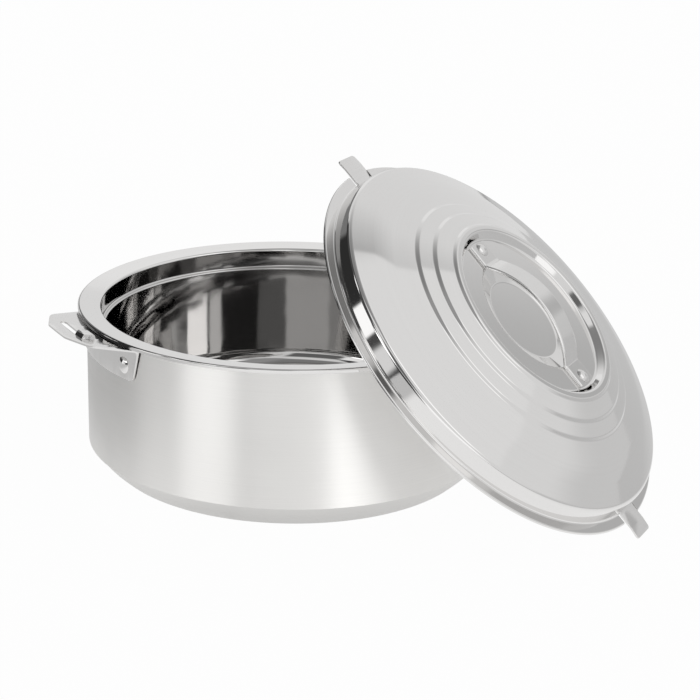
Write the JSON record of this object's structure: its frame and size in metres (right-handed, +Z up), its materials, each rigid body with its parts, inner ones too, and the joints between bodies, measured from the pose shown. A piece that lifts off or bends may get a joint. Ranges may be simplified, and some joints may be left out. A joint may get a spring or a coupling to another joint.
{
  "type": "insulated serving casserole with loose lid",
  "caption": "Round double-walled steel serving casserole with riveted side handles, and its domed insulated lid with strap handle and lock tabs leaning on the rim.",
  "frame": {"origin": "middle of the bowl's flat foot, on the surface it stands on", "axes": "+Z up along the bowl's axis, +X out through the right handle, +Y to the back"},
  "size_m": [0.3915, 0.4048, 0.2252],
  "materials": {
    "polished_steel": "mirror polished stainless steel",
    "mirror_steel": "bright buffed stainless steel",
    "bright_steel": "bright stainless sheet",
    "satin_steel": "satin stainless sheet",
    "rivet_steel": "polished rivet heads",
    "foam": "rigid polyurethane foam, out of sight"
  },
  "bodies": {
    "bowl": {"inner_liner": "polished_steel", "outer_shell": "satin_steel", "base_cup": "satin_steel", "bowl_insulation": "foam", "right_handle": "bright_steel", "left_handle": "bright_steel", "right_handle_rivets": "rivet_steel", "left_handle_rivets": "rivet_steel"},
    "lid": {"lid_cover": "mirror_steel", "lid_cover_dish": "mirror_steel", "lid_inner_pan": "polished_steel", "lid_insulation": "foam", "lid_handle": "bright_steel", "lid_handle_rivets": "rivet_steel", "lower_lock_tab": "satin_steel", "upper_lock_tab": "satin_steel"}
  },
  "joints": [
    {"name": "lid_lift", "type": "slide", "parent": "bowl", "child": "lid", "axis": [0, 0, 1], "range_m": [0, 0.25]}
  ]
}
